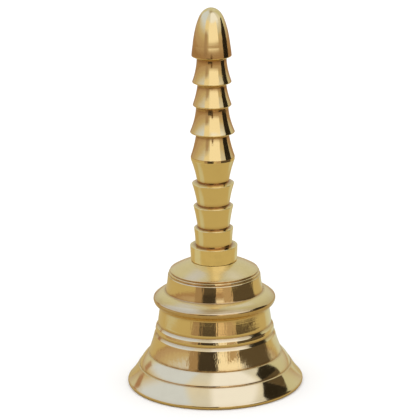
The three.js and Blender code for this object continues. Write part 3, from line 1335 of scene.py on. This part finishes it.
@dataclass(frozen=True)
class SkyPatch:
    """A soft-edged patch of the lighting tent.

    Args:
        turn: Degrees to the right of the camera's side.
        half_turn: Half of its width, in degrees.
        height: Degrees above the horizon.
        half_height: Half of its height, in degrees.
        softness: Width of its soft edge, in degrees.
        colour: What it shines, in linear light.
        strength: How much of it covers what lies under it.
    """

    turn: float
    half_turn: float
    height: float
    half_height: float
    softness: float
    colour: Colour
    strength: float = 1.0

    def lay_over(self, graph: Graph, turn: bpy.types.NodeSocket, height: bpy.types.NodeSocket,
                 under: bpy.types.NodeSocket) -> bpy.types.NodeSocket:
        """Lays the patch over the tent so far.

        Args:
            graph: The world's nodes.
            turn: Direction to the right of the camera's side, in degrees from -180 to 180.
            height: Direction above the horizon, in degrees.
            under: The tent so far.

        Returns:
            The tent with the patch.
        """
        away = graph.sum("ABSOLUTE", graph.sum("WRAP", graph.sum("SUBTRACT", turn, self.turn), 180.0, -180.0))
        above = graph.sum("ABSOLUTE", graph.sum("SUBTRACT", height, self.height))
        half = self.softness * 0.5
        across = graph.smooth_step(away, self.half_turn + half, self.half_turn - half)
        upward = graph.smooth_step(above, self.half_height + half, self.half_height - half)
        mask = graph.sum("MULTIPLY", graph.sum("MULTIPLY", across, upward), self.strength)
        return graph.mix(mask, under, opaque(self.colour))


@dataclass
class LightTent:
    """A soft white tent: plain white to look at, warm low down and cool overhead in reflections.

    Args:
        levels: Height in degrees and colour of the tent's rings, from below upwards.
        patches: Lighter and darker parts of it, each laid over those before.
        plain: How brightly it shines at everything but reflections.
    """

    levels: tuple[tuple[float, Colour], ...] = (
        (-40.0, (0.95, 0.92, 0.90)),
        (-12.0, (0.42, 0.28, 0.19)),
        (2.0, (0.50, 0.38, 0.30)),
        (8.0, (0.58, 0.49, 0.38)),
        (15.0, (0.65, 0.64, 0.72)),
        (28.0, (0.78, 0.81, 1.02)),
        (60.0, (0.72, 0.78, 1.08)),
        (88.0, (0.44, 0.41, 0.40)),
    )
    patches: tuple[SkyPatch, ...] = (
        SkyPatch(turn=-88, half_turn=42, height=46, half_height=27, softness=16, colour=(0.69, 0.84, 1.46)),
        SkyPatch(turn=30, half_turn=38, height=50, half_height=26, softness=16, colour=(0.98, 1.08, 1.64)),
        SkyPatch(turn=165, half_turn=66, height=40, half_height=36, softness=26, colour=(0.63, 0.66, 0.63)),
        SkyPatch(turn=-146, half_turn=16, height=58, half_height=9, softness=10, colour=(0.62, 0.70, 1.10)),
        SkyPatch(turn=146, half_turn=14, height=58, half_height=9, softness=10, colour=(0.70, 0.76, 0.98)),
        SkyPatch(turn=-32, half_turn=16, height=23, half_height=8, softness=8, colour=(0.90, 0.82, 0.72)),
        SkyPatch(turn=14, half_turn=32, height=16, half_height=12, softness=6, colour=(1.04, 0.98, 1.00)),
        SkyPatch(turn=-36, half_turn=9, height=0, half_height=14, softness=8, colour=(0.42, 0.31, 0.25)),
        SkyPatch(turn=-131, half_turn=5, height=12, half_height=7, softness=3, colour=(0.42, 0.26, 0.20)),
    )
    plain: float = 1.16

    def pitch_world(self) -> None:
        """Builds the world's nodes."""
        world = bpy.data.worlds.new("light tent")
        bpy.context.scene.world = world
        world.use_nodes = True
        world.node_tree.nodes.clear()
        graph = Graph(world.node_tree)
        direction = graph.add("ShaderNodeTexCoord").outputs["Generated"]
        parts = graph.add("ShaderNodeSeparateXYZ", {0: direction})
        toward_camera = graph.sum("MULTIPLY", parts.outputs["Y"], -1.0)
        turn = graph.sum("DEGREES", graph.sum("ARCTAN2", parts.outputs["X"], toward_camera))
        height = graph.sum("DEGREES", graph.sum("ARCSINE", parts.outputs["Z"]))
        tent = graph.mix(0.0, opaque(self.levels[0][1]), opaque(self.levels[0][1]))
        for (low, _), (high, colour) in zip(self.levels[:-1], self.levels[1:]):
            tent = graph.mix(graph.smooth_step(height, low, high), tent, opaque(colour))
        for patch in self.patches:
            tent = patch.lay_over(graph, turn, height, tent)
        path = graph.add("ShaderNodeLightPath")
        plain = graph.add("ShaderNodeBackground", {"Color": opaque((1.0, 1.0, 1.0)), "Strength": self.plain})
        shown = graph.add("ShaderNodeBackground", {"Color": tent, "Strength": 1.0})
        both = graph.add("ShaderNodeMixShader", {
            0: path.outputs["Is Glossy Ray"], 1: plain.outputs[0], 2: shown.outputs[0]})
        graph.add("ShaderNodeOutputWorld", {"Surface": both.outputs[0]})
        LOG.info("light tent: %d levels, %d patches", len(self.levels), len(self.patches))


@dataclass(frozen=True)
class FloorSpot:
    """A soft round spot of the floor that the brass sees in another colour.

    Args:
        x: Its place to the right of the bell's axis, in metres.
        y: Its place behind the axis, in metres.
        radius: Radius of its full colour, in metres.
        softness: Width of its fading edge, in metres.
        colour: What it shines into the brass.
    """

    x: float
    y: float
    radius: float
    softness: float
    colour: Colour

    def lay_over(self, graph: Graph, place: bpy.types.NodeSocket,
                 under: bpy.types.NodeSocket) -> bpy.types.NodeSocket:
        """Lays the spot over the floor so far.

        Args:
            graph: The floor material's nodes.
            place: Position on the floor.
            under: The floor's colour so far.

        Returns:
            The colour with the spot.
        """
        gap = graph.add("ShaderNodeVectorMath", {0: place, 1: (self.x, self.y, 0.0)}, operation="DISTANCE")
        mask = graph.smooth_step(gap.outputs["Value"], self.radius + self.softness, self.radius)
        return graph.mix(mask, under, opaque(self.colour))


@dataclass(frozen=True)
class Card:
    """A studio card, which shapes the reflections.

    Args:
        name: Name of the card.
        corners: Its corners in order, in metres.
        colour: What it shines.
    """

    name: str
    corners: tuple[Place, ...]
    colour: Colour

    def stand(self) -> bpy.types.Object:
        """Stands the card in the studio, seen by reflections alone.

        Returns:
            The card.
        """
        material, graph = blank_material(self.name)
        glow = graph.add("ShaderNodeEmission", {"Color": opaque(self.colour), "Strength": 1.0})
        graph.add("ShaderNodeOutputMaterial", {"Surface": glow.outputs[0]})
        sheet = bmesh.new()
        sheet.faces.new([sheet.verts.new(corner) for corner in self.corners])
        card = linked_object(self.name, sheet, material)
        card.visible_camera = False
        card.visible_diffuse = False
        card.visible_shadow = False
        card.visible_transmission = False
        LOG.info("card: %s", self.name)
        return card


@dataclass
class Studio:
    """The pale floor, the light tent, the cards and the camera.

    Args:
        floor_radius: Radius of the round floor, in metres.
        mouth_opening: Radius of the opening under the bell's mouth, which lets light up inside it.
        eye: Where the camera stands.
        aim: What it looks at.
        lens: Focal length, in millimetres.
        sensor: Width of the camera's sensor, in millimetres.
        lean: Roll of the camera, in degrees.
        floor_pale: The floor's own colour.
        floor_warm: What the brass sees of the floor near the bell.
        floor_far: What it sees of the floor farther out.
        sheet_radius: Where the nearer colour starts to fade, in metres.
        sheet_fade: How far it takes to fade, in metres.
        floor_spots: Spots of other colours that the brass sees near the bell.
        cards: The cards around the bell.
    """

    floor_radius: float = 3.0
    mouth_opening: float = 0.0335
    eye: Place = (0.0, -0.900, 0.3317)
    aim: Place = (-0.00133, 0.0, 0.0707)
    lens: float = 204.6
    sensor: float = 36.0
    lean: float = -0.706
    floor_pale: Colour = (0.98, 0.98, 0.98)
    floor_warm: Colour = (0.50, 0.42, 0.25)
    floor_far: Colour = (0.36, 0.24, 0.16)
    sheet_radius: float = 0.44
    sheet_fade: float = 0.14
    floor_spots: tuple[FloorSpot, ...] = (
        FloorSpot(x=-0.155, y=-0.005, radius=0.040, softness=0.028, colour=(0.54, 0.54, 0.48)),
        FloorSpot(x=0.075, y=0.095, radius=0.040, softness=0.030, colour=(0.56, 0.58, 0.50)),
    )
    cards: tuple[Card, ...] = (
        Card("upper dark card on the right", (
            (0.21, -0.074, 0.090), (0.21, -0.066, 0.180), (0.21, 0.000, 0.212), (0.21, 0.040, 0.236),
            (0.21, 0.072, 0.225), (0.21, 0.078, 0.090)), colour=(0.022, 0.018, 0.015)),
        Card("lower dark card on the right", (
            (0.21, 0.040, -0.001), (0.21, -0.235, -0.001), (0.21, -0.235, 0.085), (0.21, -0.074, 0.0899),
            (0.21, 0.078, 0.0899), (0.21, 0.074, 0.060)), colour=(0.105, 0.080, 0.058)),
        Card("low dark card in front", (
            (-0.118, -0.215, -0.001), (0.016, -0.245, -0.001), (0.016, -0.245, 0.030),
            (-0.118, -0.215, 0.030)),
            colour=(0.10, 0.078, 0.06)),
        Card("darker card above it", (
            (-0.118, -0.215, 0.030), (0.016, -0.245, 0.030), (0.016, -0.245, 0.112), (-0.118, -0.215, 0.112)),
            colour=(0.055, 0.043, 0.036)),
        Card("narrow brown card over both", (
            (-0.030, -0.246, 0.100), (0.030, -0.246, 0.100), (0.020, -0.246, 0.136), (-0.020, -0.246, 0.136)),
            colour=(0.18, 0.10, 0.05)),
        Card("low pale card in front", (
            (0.018, -0.244, -0.001), (0.088, -0.244, -0.001), (0.088, -0.244, 0.022), (0.018, -0.244, 0.022)),
            colour=(0.78, 0.60, 0.44)),
        Card("low brown card at the left front", (
            (-0.165, -0.165, -0.001), (-0.116, -0.216, -0.001), (-0.116, -0.216, 0.105),
            (-0.165, -0.165, 0.100)),
            colour=(0.38, 0.27, 0.19)),
        Card("low tan card at the right front", (
            (0.090, -0.245, -0.001), (0.200, -0.238, -0.001), (0.200, -0.238, 0.080), (0.090, -0.245, 0.080)),
            colour=(0.50, 0.37, 0.27)),
    )

    def floor_paper(self) -> bpy.types.Material:
        """Makes the floor's surface, which reads warmer in the brass and clears from below.

        Returns:
            The floor's material.
        """
        material, graph = blank_material("pale floor")
        path = graph.add("ShaderNodeLightPath")
        behind = graph.add("ShaderNodeNewGeometry").outputs["Backfacing"]
        place = graph.add("ShaderNodeTexCoord").outputs["Object"]
        reach = graph.add("ShaderNodeVectorMath", {0: place}, operation="LENGTH").outputs["Value"]
        far = graph.smooth_step(reach, self.sheet_radius, self.sheet_radius + self.sheet_fade)
        warm = graph.mix(far, opaque(self.floor_warm), opaque(self.floor_far))
        for spot in self.floor_spots:
            warm = spot.lay_over(graph, place, warm)
        colour = graph.mix(path.outputs["Is Glossy Ray"], opaque(self.floor_pale), warm)
        paper = graph.add("ShaderNodeBsdfDiffuse", {"Color": colour})
        clear = graph.add("ShaderNodeBsdfTransparent")
        both = graph.add("ShaderNodeMixShader", {0: behind, 1: paper.outputs[0], 2: clear.outputs[0]})
        graph.add("ShaderNodeOutputMaterial", {"Surface": both.outputs[0]})
        return material

    def lay_floor(self) -> None:
        """Lays the round floor with its opening under the bell's mouth."""
        ring = bmesh.new()
        for radius in (self.floor_radius, self.mouth_opening):
            bmesh.ops.create_circle(ring, segments=FLOOR_SIDES, radius=radius)
        bmesh.ops.bridge_loops(ring, edges=ring.edges[:])
        if ring.faces[:][0].normal.z < 0:
            bmesh.ops.reverse_faces(ring, faces=ring.faces)
        linked_object("pale_floor", ring, self.floor_paper())
        LOG.info("pale floor: radius %.1f m", self.floor_radius)

    def set_camera(self) -> None:
        """Sets the camera at its eye, aimed and leant."""
        data = bpy.data.cameras.new("camera")
        data.lens = self.lens
        data.sensor_width = self.sensor
        data.clip_start = CLIP_START
        data.clip_end = CLIP_END
        camera = bpy.data.objects.new("camera", data)
        bpy.context.scene.collection.objects.link(camera)
        eye, aim = Vector(self.eye), Vector(self.aim)
        look = (aim - eye).to_track_quat("-Z", "Y").to_matrix().to_4x4()
        roll = Matrix.Rotation(math.radians(self.lean), 4, "Z")
        camera.matrix_world = Matrix.Translation(eye) @ look @ roll
        bpy.context.scene.camera = camera

    def build(self) -> None:
        """Builds the whole studio."""
        bpy.context.scene.view_settings.view_transform = "Standard"
        self.lay_floor()
        LightTent().pitch_world()
        for card in self.cards:
            card.stand()
        self.set_camera()


def main() -> None:
    """Builds the finishes, the bell, its handle, its fittings, the clapper and the studio."""
    logging.basicConfig(level=logging.INFO, format="%(message)s")
    effects = Effects()
    bell_brass = POLISHED_BRASS.make(effects)
    handle_brass = HANDLE_BRASS.make(effects)
    fastener_brass = FASTENER_BRASS.make(effects)
    clapper_brass = CLAPPER_BRASS.make(effects)
    steel = DRAWN_STEEL.make(effects)
    BellShell().build(bell_brass)
    TurnedHandle().build(handle_brass)
    HangerFittings().build(fastener_brass)
    Clapper().build(steel, clapper_brass, fastener_brass)
    Studio().build()


if __name__ == "__main__":
    main()
